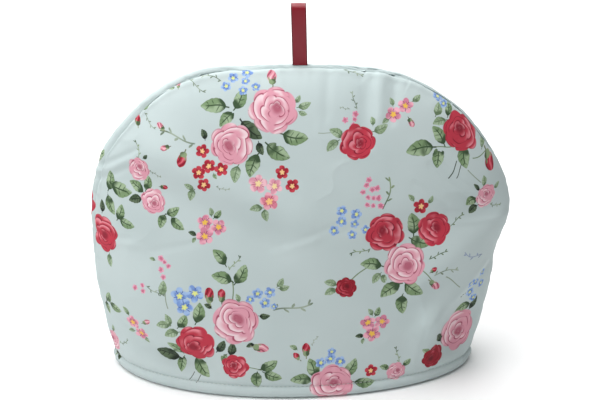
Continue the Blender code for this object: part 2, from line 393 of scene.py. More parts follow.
# Where each part of a panel lies on the flat map OFBake: left, bottom, right, top.
bakeBoxes = {
    "outer": (0.01, 0.24, 0.99, 0.99),
    "strip": (0.01, 0.200, 0.99, 0.230),
    "rim": (0.01, 0.180, 0.99, 0.195),
    "hem": (0.01, 0.165, 0.99, 0.175),
    "inner": (0.01, 0.01, 0.99, 0.155),
}


def gridQuads(rows, columns, first, flip):
    index = first + np.arange(rows * columns).reshape(rows, columns)
    quads = np.stack([index[:-1, :-1], index[:-1, 1:], index[1:, 1:], index[1:, :-1]], axis=-1).reshape(-1, 4)
    return quads[:, ::-1] if flip else quads


def around(index):
    # up the left side of a grid, along its top and down its right side
    return np.concatenate([index[:, 0], index[-1, 1:], index[-2::-1, -1]])


def rimFaces(fine, coarse, ratio, flip):
    # one face for each step of the coarse edge, with all the points of the fine edge beside it
    steps = len(coarse) - 1
    start = np.arange(steps)[:, None] * ratio + np.arange(ratio + 1)[None, :]
    faces = np.concatenate([fine[start], coarse[1:, None], coarse[:-1, None]], axis=1)
    return faces[:, ::-1] if flip else faces


def gridCorners(rows, columns, box, flip):
    # the same quads as gridQuads, as places on a flat map: box is its left, bottom, right and top
    u = np.linspace(box[0], box[2], columns)[None, :] + np.zeros((rows, 1))
    v = np.linspace(box[1], box[3], rows)[:, None] + np.zeros((1, columns))
    place = np.stack([u, v], axis=-1)
    quads = np.stack([place[:-1, :-1], place[:-1, 1:], place[1:, 1:], place[1:, :-1]], axis=2).reshape(-1, 4, 2)
    return (quads[:, ::-1] if flip else quads).reshape(-1, 2)


def rimCorners(steps, ratio, box, flip):
    u = np.linspace(box[0], box[2], steps * ratio + 1)
    start = np.arange(steps)[:, None] * ratio
    fine = u[start + np.arange(ratio + 1)[None, :]]
    across = np.concatenate([fine, fine[:, -1:], fine[:, :1]], axis=1)
    up = np.full_like(across, box[1])
    up[:, -2:] = box[3]
    place = np.stack([across, up], axis=-1)
    return (place[:, ::-1] if flip else place).reshape(-1, 2)


def newPiece(name, points, faces, material, sharpAngle=65):
    mesh = bpy.data.meshes.new(name)
    mesh.from_pydata(points.tolist(), [], faces)
    mesh.shade_smooth()
    mesh.set_sharp_from_angle(angle=math.radians(sharpAngle))
    mesh.materials.append(material)
    piece = bpy.data.objects.new(name, mesh)
    bpy.context.scene.collection.objects.link(piece)
    return piece


def addUvMap(piece, name, corners):
    layer = piece.data.uv_layers.new(name=name)
    layer.data.foreach_set("uv", np.ascontiguousarray(corners, np.float32).ravel())


def cornerPoints(piece):
    index = np.empty(len(piece.data.loops), np.int32)
    piece.data.loops.foreach_get("vertex_index", index)
    return index


def makePanel(name, material):
    shape, inner = panelShape(name, 0.0), panelShape(name, cosy["wall"])
    ratio, front = cosy["coarser"], name == "front"
    share = columnShare(cosy["columns"])
    heights = rowHeights(shape, cosy["hemRows"], cosy["bodyRows"])
    x, z = rowsAndColumns(shape, heights, share, drawn=front)
    wall = onWall(shape, x, z)
    rowLength, columnLength = runningLength(wall, 1), runningLength(wall, 0)
    fromSide = np.minimum(rowLength, rowLength[:, -1:] - rowLength)
    fromTop = columnLength[-1:] - columnLength
    fromSeam = np.minimum(fromSide, fromTop)
    if not front:
        fromSeam = fromSeam + drawnAt(x)
    flat = clothLaidFlat(shape, x, z, columnLength)
    points = wall + outward(wall, shape["side"]) * clothRelief(shape, wall, flat, fromSeam)[..., None]
    points[..., 2] = np.where(z < 1e-6, 0.0, points[..., 2])
    if front:
        points[..., 1] = np.minimum(points[..., 1], -cosy["gap"] / 2)
    else:
        points[:, [0, -1], 1] = points[-1, :, 1] = 0.0
    rows, columns = x.shape
    blocks, flats = [points.reshape(-1, 3)], [flat.reshape(-1, 2)]
    index = np.arange(rows * columns).reshape(rows, columns)
    faces = [gridQuads(rows, columns, 0, not front)]
    baked = [gridCorners(rows, columns, bakeBoxes["outer"], not front)]
    edge, first = around(index), rows * columns

    if not front:
        # the back's cloth goes on over the edge, to the seam that is drawn to the front
        cut = panelShape("front", 0.0)
        cutX, cutZ = rowsAndColumns(cut, heights, share, drawn=True)
        fromX, fromZ = around(x), around(z)
        t = np.linspace(0.0, 1.0, cosy["stripRows"] + 1)[1:, None] ** 2
        stripX, stripZ = fromX + (around(cutX) - fromX) * t, fromZ + (around(cutZ) - fromZ) * t
        strip = onWall(cut, stripX, stripZ)
        strip[..., 1] += cosy["gap"]
        width = drawnAt(stripX)
        away = width * (1.0 - np.sqrt(t))
        stripLength = runningLength(np.concatenate([around(points)[None], strip]), 0)[1:]
        edgeFlat = around(flat)
        outwards = np.stack([np.sign(fromX) * smoothStep(-fromZ, -0.215, -0.170), smoothStep(fromZ, 0.170, 0.215)], 1)
        stripFlat = edgeFlat[None] + outwards[None] * stripLength[..., None]
        normal = outward(np.concatenate([around(points)[None], strip]), 1)[1:]
        normal *= np.sign((normal * (strip - np.array([0, 0, 0.12]))).sum(-1, keepdims=True))
        relief = clothRelief(cut, strip, stripFlat, away)
        strip = strip + normal * relief[..., None]
        strip[..., 2] = np.where(stripZ < 1e-6, 0.0, strip[..., 2])
        count = len(edge)
        blocks.append(strip.reshape(-1, 3))
        flats.append(stripFlat.reshape(-1, 2))
        stripIndex = np.vstack([edge[None], first + np.arange(cosy["stripRows"] * count).reshape(-1, count)])
        quads = np.stack([stripIndex[:-1, :-1], stripIndex[1:, :-1], stripIndex[1:, 1:], stripIndex[:-1, 1:]], -1)
        faces.append(quads.reshape(-1, 4))
        low = bakeBoxes["strip"]
        u = np.linspace(low[0], low[2], count)[None, :] + np.zeros((cosy["stripRows"] + 1, 1))
        v = np.linspace(low[1], low[3], cosy["stripRows"] + 1)[:, None] + np.zeros((1, count))
        place = np.stack([u, v], axis=-1)
        baked.append(np.stack([place[:-1, :-1], place[1:, :-1], place[1:, 1:], place[:-1, 1:]], 2).reshape(-1, 2))
        edge, first = stripIndex[-1], first + cosy["stripRows"] * count
        hemEdge = np.concatenate([stripIndex[::-1, 0], index[0, 1:-1], stripIndex[:, -1]])
    else:
        hemEdge = index[0]

    innerHeights = rowHeights(inner, cosy["hemRows"] // ratio, cosy["bodyRows"] // ratio)
    innerX, innerZ = rowsAndColumns(inner, innerHeights, columnShare(cosy["columns"] // ratio), drawn=False)
    inside = onWall(inner, innerX, innerZ)
    inside[..., 1] += shape["side"] * cosy["gap"] / 2
    innerFlat = clothLaidFlat(inner, innerX, innerZ, runningLength(inside, 0))
    blocks.append(inside.reshape(-1, 3))
    flats.append(innerFlat.reshape(-1, 2))
    innerRows, innerColumns = innerX.shape
    innerIndex = first + np.arange(innerRows * innerColumns).reshape(innerRows, innerColumns)
    faces.append(gridQuads(innerRows, innerColumns, first, front))
    faces.append(rimFaces(edge, around(innerIndex), ratio, not front))
    baked.append(gridCorners(innerRows, innerColumns, bakeBoxes["inner"], front))
    baked.append(rimCorners(len(faces[-1]), ratio, bakeBoxes["rim"], not front))
    if front:
        faces.append(rimFaces(hemEdge[::-1], innerIndex[0, ::-1], ratio, False))
        baked.append(rimCorners(innerColumns - 1, ratio, bakeBoxes["hem"], False))
    else:
        # the strip's own points at both corners of the hem join the first and the last step of the rim
        strips = cosy["stripRows"]
        middleEdge = index[0]
        hem = rimFaces(middleEdge, innerIndex[0], ratio, False)
        faces.append(hem[1:-1])
        leftCorner = np.concatenate([hemEdge[:strips], middleEdge[:ratio + 1], innerIndex[0, [1, 0]]])
        rightCorner = np.concatenate([middleEdge[-ratio - 1:], hemEdge[-strips:], innerIndex[0, [-1, -2]]])
        faces.append(leftCorner[None])
        faces.append(rightCorner[None])
        hemBaked = rimCorners(innerColumns - 1, ratio, bakeBoxes["hem"], False).reshape(-1, ratio + 3, 2)
        baked.append(hemBaked[1:-1].reshape(-1, 2))
        for corner in (leftCorner, rightCorner):
            turn = np.linspace(0.0, 2 * np.pi, len(corner), endpoint=False)
            baked.append(np.stack([0.5 + 0.004 * np.cos(turn), 0.160 + 0.001 * np.sin(turn)], axis=1))
    piece = newPiece(name + "Panel", np.vstack(blocks), sum((f.tolist() for f in faces), []), material)
    addUvMap(piece, "OFBake", np.vstack(baked))
    groove = int(round(stitchHeight / cosy["levelHem"] * cosy["hemRows"]))
    hemLine = points[groove], outward(points, shape["side"])[groove]
    return piece, np.vstack(flats), len(faces[0]) + (0 if front else len(faces[1])), hemLine


# ---------- the print ----------
# Each row: kind, across and up the cloth from the spray's own place, half length, turn, colour (all mm and degrees).
sprays = {
    "pinkPair": [
        ("rose", 19, 16, 20, 30, "pink"),
        ("rose", -14, -11, 18, 215, "pink"),
        ("bud", 18, 42, 8, 95, "pink"),
        ("cluster", -7, 39, 14, 10, "blue"),
        ("leaf", -27, 19, 12, 178, "sage"),
        ("leaf", -8, 24, 10, 68, "sage"),
        ("leaf", -17, 9, 9, 225, "sage"),
        ("leaf", 1, 1, 12, -40, "dark"),
        ("leaf", 9, -14, 6, -70, "dark"),
        ("leaf", 35, -5, 12, -10, "sage"),
        ("leaf", 22, -16, 12, -30, "sage"),
        ("leaf", 4, -27, 11, -110, "sage"),
        ("leaf", -10, -34, 8, -100, "plain"),
        ("leaf", 38, 24, 4, 60, "plain"),
        ("leaf", 43, 19, 6, 20, "plain"),
        ("leaf", 42, 13, 4, -20, "plain"),
        ("leaf", -36, -3, 5, 110, "dark"),
        ("sprig", -57, -6, 16, 172, "grey"),
        ("bud", -71, 1, 5, 140, "pink"),
        ("bud", -67, -15, 5, 200, "pink"),
        ("bud", -53, -22, 8, -110, "red"),
        ("sprig", -30, 43, 9, 160, "grey"),
        ("blossom", -37, -16, 6, 0, "red"),
        ("blossom", -32, -28, 6, 40, "red"),
        ("blossom", -40, -33, 6, 15, "red"),
        ("blossom", -22, -31, 6, 30, "red"),
        ("blossom", -36, -43, 6, 60, "red"),
        ("blossom", 26, -33, 6, 20, "red"),
        ("blossom", 34, -44, 6, 50, "red"),
        ("blossom", 7, -42, 8, 10, "pink"),
        ("blossom", 20, -44, 7, 45, "pink"),
        ("blossom", 16, -56, 8, 30, "blush"),
        ("leaf", 6, -62, 6, 190, "plain"),
        ("leaf", 13, -67, 6, -80, "plain"),
        ("leaf", -48, -46, 5, 150, "plain"),
        ("leaf", -46, -52, 6, -110, "plain"),
        ("leaf", -27, -36, 3, -60, "plain"),
        ("sprig", -21, -46, 6, -20, "grey"),
    ],
    "redTop": [
        ("rose", 0, -3, 15, -20, "red"),
        ("cluster", -5, 14, 9, 20, "lilac"),
        ("leaf", -16, 4, 7, 150, "plain"),
        ("leaf", -19, -5, 7, 225, "plain"),
        ("leaf", 12, 13, 4, 100, "plain"),
        ("leaf", 18, 7, 7, 25, "plain"),
        ("sprig", -2, 30, 8, 95, "grey"),
        ("sprig", -9, 24, 5, 180, "grey"),
        ("stem", -26, 5, 5, 175, "grey"),
        ("sprig", -3, 54, 9, -30, "grey"),
    ],
    "goldCentres": [
        ("blossom", 6, 6, 7, 10, "gold"),
        ("blossom", -4, -1, 7, 50, "gold"),
        ("bud", 10, -7, 5, -60, "pink"),
        ("leaf", -5, 9, 4, 110, "plain"),
        ("leaf", 15, 12, 5, 40, "plain"),
        ("leaf", -10, -6, 4, 215, "plain"),
    ],
    "goldTrio": [
        ("blossom", -3, 5, 7, 10, "gold"),
        ("blossom", 8, 1, 7, 50, "gold"),
        ("blossom", -3, -6, 8, 30, "gold"),
        ("leaf", 2, 13, 4, 100, "plain"),
        ("leaf", 7, 11, 5, 50, "sage"),
        ("leaf", -13, -4, 4, 160, "dark"),
        ("leaf", -12, -9, 3, 240, "plain"),
    ],
    "redRight": [
        ("rose", 0, 0, 18, 150, "red"),
        ("leaf", -22, 18, 7, 75, "plain"),
        ("leaf", -20, 8, 7, 200, "plain"),
        ("leaf", -12, 18, 7, 80, "sage"),
        ("leaf", -21, -4, 10, 125, "sage"),
        ("leaf", -36, -14, 13, 190, "sage"),
        ("leaf", -21, -20, 10, -100, "sage"),
        ("stem", -17, -12, 8, 190, "plain"),
        ("leaf", 2, -21, 11, -85, "sage"),
        ("stem", -9, -31, 8, 60, "dark"),
        ("stem", -3, -32, 7, 60, "dark"),
        ("stem", 17, -21, 8, 5, "plain"),
        ("bud", 27, -26, 11, -75, "red"),
        ("leaf", 22, -11, 6, 70, "plain"),
        ("cluster", -17, 28, 6, 10, "blue"),
    ],
    "threeRoses": [
        ("rose", -17, 15, 17, 140, "red"),
        ("rose", 24, 16, 15, 20, "red"),
        ("rose", 0, -12, 18, -30, "pink"),
        ("cluster", -46, 23, 16, 10, "blue"),
        ("cluster", -28, 47, 14, -65, "lilac"),
        ("sprig", -16, 47, 14, 82, "plain"),
        ("blossom", 12, 36, 7, 10, "red"),
        ("leaf", 4, 43, 4, 130, "plain"),
        ("leaf", 20, 41, 4, 60, "plain"),
        ("leaf", 6, 20, 11, 100, "sage"),
        ("leaf", 12, 6, 10, -15, "sage"),
        ("leaf", -11, -33, 11, 215, "sage"),
        ("leaf", 7, -32, 11, -35, "sage"),
        ("leaf", -1, -46, 10, -85, "sage"),
        ("leaf", -27, -11, 10, 172, "sage"),
        ("leaf", -23, -22, 6, 235, "plain"),
        ("leaf", -17, -23, 5, -70, "plain"),
        ("sprig", -37, 1, 9, 200, "plain"),
        ("rose", -48, -29, 9, 60, "crimson"),
        ("stem", -37, -18, 9, 40, "plain"),
        ("leaf", -60, -25, 6, 165, "plain"),
        ("leaf", -60, -32, 6, 205, "plain"),
        ("sprig", 28, -6, 9, 12, "plain"),
        ("bud", 25, -30, 7, -40, "pink"),
        ("stem", 18, -22, 8, -50, "plain"),
        ("bud", 24, -18, 4, 40, "red"),
        ("sprig", 36, -21, 12, 10, "grey"),
        ("stem", 43, -31, 9, -30, "grey"),
        ("sprig", 43, 21, 9, 25, "plain"),
    ],
    "smallPink": [
        ("rose", 0, 0, 10, 80, "pink"),
        ("leaf", -2, 13, 5, 90, "plain"),
        ("leaf", -9, 8, 4, 140, "dark"),
        ("leaf", -13, -4, 7, 215, "sage"),
        ("leaf", -11, -10, 6, 225, "dark"),
        ("sprig", 11, -12, 7, -35, "plain"),
        ("leaf", 12, 4, 4, 20, "plain"),
        ("stem", -11, 17, 8, 140, "grey"),
    ],
    "twoSmall": [
        ("rose", -6, 12, 10, 60, "pink"),
        ("rose", 6, -12, 11, -60, "pink"),
        ("leaf", 1, 1, 7, 80, "sage"),
        ("leaf", -8, -3, 8, 150, "sage"),
        ("leaf", -9, -13, 7, 195, "dark"),
        ("bud", 15, 0, 4, 0, "red"),
        ("sprig", -7, 27, 8, 100, "plain"),
        ("leaf", 0, 23, 3, 45, "dark"),
        ("sprig", 8, 10, 6, -10, "grey"),
    ],
    "threeLeaves": [
        ("leaf", 4, 4, 7, 30, "sage"),
        ("leaf", -4, -4, 7, 250, "sage"),
        ("leaf", 8, -5, 8, -40, "sage"),
    ],
    "leafSpray": [
        ("leaf", -8, -9, 10, 165, "sage"),
        ("leaf", 6, -6, 10, 62, "sage"),
        ("leaf", -10, 8, 9, 130, "sage"),
        ("stem", 0, -19, 9, 92, "plain"),
        ("leaf", 4, -25, 4, 110, "plain"),
        ("sprig", 2, 4, 8, 60, "plain"),
    ],
    "leftRoses": [
        ("rose", -6, 0, 16, -70, "red"),
        ("leaf", 3, 45, 9, 82, "sage"),
        ("leaf", 14, 42, 12, -5, "sage"),
        ("leaf", 4, 27, 9, -65, "sage"),
        ("leaf", 13, 22, 8, 70, "sage"),
        ("leaf", 19, 15, 8, -12, "sage"),
        ("leaf", 0, -21, 6, -80, "plain"),
        ("leaf", -6, 22, 6, 90, "dark"),
    ],
    "lowerLeft": [
        ("rose", 17, 13, 20, 50, "pink"),
        ("rose", -17, -8, 18, 235, "red"),
        ("rose", 16, -27, 12, 130, "red"),
        ("blossom", -29, 34, 8, 20, "blue"),
        ("blossom", -16, 37, 8, 50, "blue"),
        ("blossom", -25, 25, 8, 70, "blue"),
        ("blossom", 35, 37, 5, 10, "blue"),
        ("blossom", 45, 38, 5, 40, "blue"),
        ("blossom", 29, 32, 4, 60, "blue"),
        ("blossom", 41, 29, 5, 30, "blue"),
        ("blossom", 48, 26, 3, 0, "blue"),
        ("bud", -4, 34, 8, 95, "red"),
        ("bud", 6, 34, 7, 92, "red"),
        ("leaf", -5, 26, 4, 150, "dark"),
        ("leaf", -14, 20, 10, 78, "sage"),
        ("leaf", -28, 12, 8, 60, "sage"),
        ("leaf", -40, 12, 6, 110, "plain"),
        ("leaf", -44, 7, 7, 190, "plain"),
        ("leaf", -37, 0, 8, 205, "plain"),
        ("leaf", -35, -16, 9, 145, "sage"),
        ("leaf", -42, -25, 12, 172, "dark"),
        ("leaf", -30, -31, 8, -100, "sage"),
        ("leaf", -13, -31, 11, -55, "sage"),
        ("stem", -22, -41, 5, 55, "dark"),
        ("stem", -16, -43, 5, 55, "dark"),
        ("leaf", 4, -9, 7, 60, "dark"),
        ("leaf", 13, -11, 7, 80, "dark"),
        ("leaf", 7, -19, 5, 240, "sage"),
        ("leaf", 43, -25, 9, 30, "sage"),
        ("leaf", 46, -34, 9, -20, "sage"),
        ("leaf", 34, -38, 9, -88, "sage"),
        ("stem", 31, -28, 7, -20, "plain"),
        ("bud", 36, -9, 8, -10, "pink"),
        ("leaf", 29, -7, 4, 200, "dark"),
        ("sprig", 63, 25, 17, 18, "grey"),
        ("leaf", 53, 46, 5, 60, "plain"),
        ("leaf", 56, 42, 5, 15, "plain"),
        ("leaf", 40, 18, 5, 0, "dark"),
        ("leaf", -44, 39, 7, 80, "plain"),
        ("stem", -40, 30, 8, 100, "grey"),
    ],
    "hemRose": [
        ("rose", 0, 0, 19, 40, "pink"),
        ("blossom", -9, 21, 5, 0, "blue"),
        ("blossom", -1, 24, 5, 30, "blue"),
        ("blossom", 7, 21, 5, 60, "blue"),
        ("blossom", 0, 30, 4, 10, "blue"),
        ("leaf", 15, 14, 10, 60, "sage"),
        ("leaf", 27, 0, 10, -5, "sage"),
        ("leaf", -16, 16, 10, 105, "sage"),
        ("leaf", -24, 6, 10, 178, "sage"),
        ("bud", -21, 32, 7, 92, "red"),
        ("bud", -28, 27, 5, 130, "red"),
        ("leaf", -31, 35, 4, 150, "plain"),
        ("sprig", -14, 40, 5, 60, "grey"),
        ("blossom", 33, 10, 6, 20, "red"),
    ],
    "lilacs": [
        ("cluster", 3, 10, 10, 80, "lilac"),
        ("cluster", -19, -11, 8, 40, "lilac"),
        ("leaf", -7, 14, 3, 170, "plain"),
        ("sprig", -5, -12, 9, -30, "grey"),
    ],
    "rightSide": [
        ("rose", 0, 0, 20, -60, "pink"),
        ("cluster", 13, 41, 14, 80, "blue"),
        ("leaf", 3, 21, 10, 195, "sage"),
        ("leaf", 14, 22, 8, 60, "dark"),
        ("sprig", 6, 76, 11, 150, "blueGrey"),
        ("sprig", 3, 40, 7, 200, "grey"),
        ("rose", -26, -17, 11, 200, "crimson"),
        ("leaf", -20, -2, 6, 120, "dark"),
        ("leaf", -33, -9, 5, 150, "plain"),
    ],
    "smallHem": [
        ("rose", 0, 0, 9, 30, "pink"),
        ("sprig", 1, 15, 8, 92, "plain"),
        ("leaf", -10, 5, 5, 160, "sage"),
        ("leaf", 9, 7, 5, 40, "sage"),
    ],
    "edgeBits": [
        ("leaf", 0, 6, 7, 60, "sage"),
        ("bud", -5, -8, 6, 100, "red"),
        ("sprig", 6, -6, 8, -40, "grey"),
    ],
    "tinyPink": [
        ("bud", 0, 0, 4, 100, "pink"),
        ("leaf", -5, -3, 3, 200, "plain"),
        ("sprig", 16, 0, 9, -30, "grey"),
    ],
}

# Where the sprays lie on each panel: spray, across and up the cloth from the middle of the hem, turn.
layout = {
    "front": [
        ("pinkPair", -40, 230, 0),
        ("redTop", 45, 222, 0),
        ("goldCentres", 78, 241, 0),
        ("redRight", 133, 226, 0),
        ("threeRoses", 85, 130, 0),
        ("smallPink", 155, 172, 0),
        ("twoSmall", -125, 182, 0),
        ("threeLeaves", -107, 159, 0),
        ("goldTrio", -73, 150, 0),
        ("leafSpray", -54, 118, 0),
        ("leftRoses", -163, 133, 0),
        ("lowerLeft", -69, 60, 0),
        ("hemRose", 26, 15, 0),
        ("goldTrio", 60, 65, 20),
        ("goldCentres", -137, 56, 90),
        ("lilacs", -114, 108, 0),
        ("rightSide", 141, 45, 0),
        ("smallHem", 81, 21, 0),
        ("edgeBits", -128, 240, 0),
        ("tinyPink", -98, 266, 0),
        ("threeLeaves", -172, 70, 30),
        ("smallPink", -175, 30, 60),
    ],
    "back": [
        ("pinkPair", 70, 190, 180),
        ("threeRoses", -70, 110, 180),
        ("lowerLeft", 62, 84, 90),
        ("redTop", -85, 215, 0),
        ("leftRoses", -186, 150, 0),
        ("goldTrio", 0, 40, 0),
        ("goldCentres", -10, 215, 30),
        ("smallPink", -30, 255, 0),
        ("twoSmall", 140, 180, 0),
        ("lilacs", 150, 110, 0),
        ("hemRose", -100, 20, 0),
        ("smallHem", 140, 25, 0),
        ("leafSpray", 10, 150, 0),
        ("threeLeaves", -150, 60, 0),
        ("twoSmall", -130, 200, 120),
        ("edgeBits", 110, 240, 0),
    ],
}

# The kinds, drawn in this order one over the other; a kind has so many layers for pieces of it that touch.
kindLayers = {"stem": 1, "sprig": 1, "leaf": 2, "bud": 1, "blossom": 3, "rose": 3}
# Half of each kind's width, as a share of its half length.
kindWidth = {"stem": 0.35, "sprig": 0.5, "leaf": 0.68, "bud": 0.66, "blossom": 1.06, "rose": 1.06}
# Each kind's colourings, by name.
colourings = {
    "stem": ["plain", "grey", "dark"],
    "sprig": ["plain", "grey", "blueGrey"],
    "leaf": ["sage", "plain", "dark"],
    "bud": ["pink", "red"],
    "blossom": ["red", "pink", "blush", "gold", "blue", "lilac"],
    "rose": ["pink", "red", "crimson"],
}
clusters = {
    # floret, how narrow the cluster is
    "blue": (4.6, 0.85),
    "lilac": (2.7, 0.55),
}


goldenAngle = math.radians(137.5)


def clusterRows(across, up, half, turn, colour):
    # florets in a spiral of golden angles, squeezed to an oval
    floret, narrow = clusters[colour]
    count = max(3, round(0.72 * half * half * narrow / floret ** 2))
    k = np.arange(count)
    far = half * np.sqrt((k + 0.5) / count)
    angle = k * goldenAngle
    along, beside = far * np.cos(angle), far * np.sin(angle) * narrow
    tilt = math.radians(turn)
    return [("blossom", across + a * math.cos(tilt) - b * math.sin(tilt), up + a * math.sin(tilt) + b * math.cos(tilt),
             floret * (0.85 + 0.3 * (i * 0.618 % 1)), i * 47, colour) for i, a, b in zip(k, along, beside)]


def printedRows(panel):
    # every motif of a panel on its cloth, in metres and radians, with a number of its own
    rows = []
    for spray, atX, atY, turn in layout[panel]:
        c, s = math.cos(math.radians(turn)), math.sin(math.radians(turn))
        for kind, across, up, half, own, colour in sprays[spray]:
            place = (atX + across * c - up * s, atY + across * s + up * c, half, own + turn)
            if kind == "cluster":
                rows += clusterRows(*place, colour)
            else:
                rows.append((kind, *place, colour))
    return [(kind, u * 0.001, v * 0.001, half * 0.001, math.radians(turn), colour, number)
            for number, (kind, u, v, half, turn, colour) in enumerate(rows)]


def layPrint(piece, flats, printedFaces, panel):
    # for each layer, the place in its motif of every corner of the cloth: along, across, colouring and number
    corners = flats[cornerPoints(piece)]
    faces = corners[:printedFaces * 4].reshape(-1, 4, 2)
    middle = faces.mean(axis=1)
    reach = np.abs(faces - middle[:, None]).sum(-1).max(axis=1)
    layers = {kind: [np.full((len(corners), 3), 5.0, np.float32) for _ in range(count)]
              for kind, count in kindLayers.items()}
    taken = {kind: [np.zeros(len(faces), bool) for _ in range(count)] for kind, count in kindLayers.items()}
    for layerList in layers.values():
        for layer in layerList:
            layer[:, 2] = 0.0
    crowded = 0
    for kind, u, v, half, turn, colour, number in printedRows(panel):
        near = np.nonzero(np.hypot(middle[:, 0] - u, middle[:, 1] - v) < 1.12 * half + reach)[0]
        if not len(near):
            continue
        c, s = math.cos(turn), math.sin(turn)
        du, dv = faces[near, :, 0] - u, faces[near, :, 1] - v
        code = number % 90 + (colourings[kind].index(colour) + 0.5) / len(colourings[kind])
        local = np.stack([(du * c + dv * s) / half, (dv * c - du * s) / half, np.full(du.shape, code)], axis=-1)
        held = ((abs(local[..., 0]) < 1.06) & (abs(local[..., 1]) < kindWidth[kind])).any(axis=1)
        near, local = near[held], local[held]
        free = [k for k in range(kindLayers[kind]) if not taken[kind][k][near].any()]
        if free:
            k = free[0]
        else:
            k = min(range(kindLayers[kind]), key=lambda k: taken[kind][k][near].sum())
            keep = ~taken[kind][k][near]
            near, local = near[keep], local[keep]
            crowded += 1
        taken[kind][k][near] = True
        layers[kind][k][:len(faces) * 4].reshape(-1, 4, 3)[near] = local
    for kind, layerList in layers.items():
        for k, layer in enumerate(layerList):
            attribute = piece.data.attributes.new(f"{kind}{k}", "FLOAT_VECTOR", "CORNER")
            attribute.data.foreach_set("vector", layer.ravel())
    print(panel, "print:", len(printedRows(panel)), "motifs,", crowded, "cut by a neighbour")


# ---------- numbers and colours in a node tree ----------
class Value:
    # a number in a node tree; sums and products of it add math nodes
    def __init__(self, tree, socket):
        self.tree, self.socket = tree, socket

    def math(self, operation, *others):
        return mathNode(self.tree, operation, self, *others)

    def __add__(self, other): return self.math("ADD", other)
    def __radd__(self, other): return self.math("ADD", other)
    def __sub__(self, other): return self.math("SUBTRACT", other)
    def __rsub__(self, other): return mathNode(self.tree, "SUBTRACT", other, self)
    def __mul__(self, other): return self.math("MULTIPLY", other)
    def __rmul__(self, other): return self.math("MULTIPLY", other)
    def __truediv__(self, other): return self.math("DIVIDE", other)
    def __pow__(self, other): return self.math("POWER", other)
    def __abs__(self): return self.math("ABSOLUTE")


def plug(tree, value, socket):
    if isinstance(value, Value):
        tree.links.new(value.socket, socket)
    elif isinstance(value, bpy.types.NodeSocket):
        tree.links.new(value, socket)
    elif isinstance(value, tuple):
        socket.default_value = (*value, 1.0)
    else:
        socket.default_value = value


def mathNode(tree, operation, *values):
    node = tree.nodes.new("ShaderNodeMath")
    node.operation = operation
    for value, socket in zip(values, node.inputs):
        plug(tree, value, socket)
    return Value(tree, node.outputs[0])


def ramp(value, low, high):
    # 0 below low, 1 above high, a smooth step between
    node = value.tree.nodes.new("ShaderNodeMapRange")
    node.interpolation_type = "SMOOTHSTEP"
    node.inputs["From Min"].default_value = low
    node.inputs["From Max"].default_value = high
    plug(value.tree, value, node.inputs["Value"])
    return Value(value.tree, node.outputs["Result"])


def blend(tree, share, first, second):
    # first colour where share is 0, second where it is 1
    node = tree.nodes.new("ShaderNodeMix")
    node.data_type = "RGBA"
    plug(tree, share, node.inputs[0])
    plug(tree, first, node.inputs[6])
    plug(tree, second, node.inputs[7])
    return node.outputs[2]


def vector(tree, x, y, z):
    node = tree.nodes.new("ShaderNodeCombineXYZ")
    for value, socket in zip((x, y, z), node.inputs):
        plug(tree, value, socket)
    return node.outputs[0]


def parts(tree, socket):
    node = tree.nodes.new("ShaderNodeSeparateXYZ")
    tree.links.new(socket, node.inputs[0])
    return [Value(tree, output) for output in node.outputs]


def waver(x, y, number, scale):
    # two soft uneven numbers between about -0.3 and 0.3: sines across one another, other ones for each motif
    a = (x * (1.7 * scale) + y * (0.9 * scale) + number * 2.4).math("SINE")
    b = (y * (1.9 * scale) - x * (0.7 * scale) + number * 4.1 + a * 1.3).math("SINE")
    c = (x * (2.9 * scale) - y * (1.7 * scale) + number * 1.3 + b * 1.1).math("SINE")
    return (a + b) * 0.16, (b * 0.4 + c * 0.6) * 0.25


def noiseNode(tree, place, scale):
    node = tree.nodes.new("ShaderNodeTexNoise")
    node.inputs["Scale"].default_value = scale
    tree.links.new(place, node.inputs["Vector"])
    return Value(tree, node.outputs["Fac"])


def choose(tree, share, colours):
    # one of the colours, by steps of share from 0 to 1
    node = tree.nodes.new("ShaderNodeValToRGB")
    node.color_ramp.interpolation = "CONSTANT"
    elements = node.color_ramp.elements
    while len(elements) < len(colours):
        elements.new(0.5)
    for k, colour in enumerate(colours):
        elements[k].position = k / len(colours)
        elements[k].color = (*colour, 1.0)
    plug(tree, share, node.inputs[0])
    return node.outputs["Color"]


def tint(red, green, blue):
    # a colour as it is mixed on the screen, turned to light
    return tuple(c / 255 / 12.92 if c < 10 else ((c / 255 + 0.055) / 1.055) ** 2.4 for c in (red, green, blue))


def motifGroup(kind, draw):
    # a group that takes a place in the motif and gives its colour and where it is printed
    tree = bpy.data.node_groups.new(kind + "Print", "ShaderNodeTree")
    tree.interface.new_socket("Place", in_out="INPUT", socket_type="NodeSocketVector")
    tree.interface.new_socket("Color", in_out="OUTPUT", socket_type="NodeSocketColor")
    tree.interface.new_socket("Share", in_out="OUTPUT", socket_type="NodeSocketFloat")
    inside = tree.nodes.new("NodeGroupInput")
    outside = tree.nodes.new("NodeGroupOutput")
    x, y, code = parts(tree, inside.outputs["Place"])
    number = code.math("FLOOR")
    colour, share = draw(tree, x, y, number, code - number)
    plug(tree, colour, outside.inputs["Color"])
    plug(tree, share, outside.inputs["Share"])
    return tree


def brushed(tree, x, y, number, amount, scale=2.0):
    # the place, shifted a little by noise, so that outlines waver as if done by brush
    shiftX, shiftY = waver(x, y, number + 7.0, scale)
    return x + shiftX * amount, y + shiftY * amount


def distance(x, y):
    return (x * x + y * y).math("SQRT")


def drawStem(tree, x, y, number, share):
    # a thin curved line
    bend = y + 0.10 * (x * 1.6 + number).math("SINE") - 0.04
    thick = ramp(abs(bend), 0.075, 0.035) * ramp(abs(x), 1.0, 0.92)
    return choose(tree, share, [tint(120, 140, 108), tint(142, 156, 138), tint(62, 74, 62)]), thick


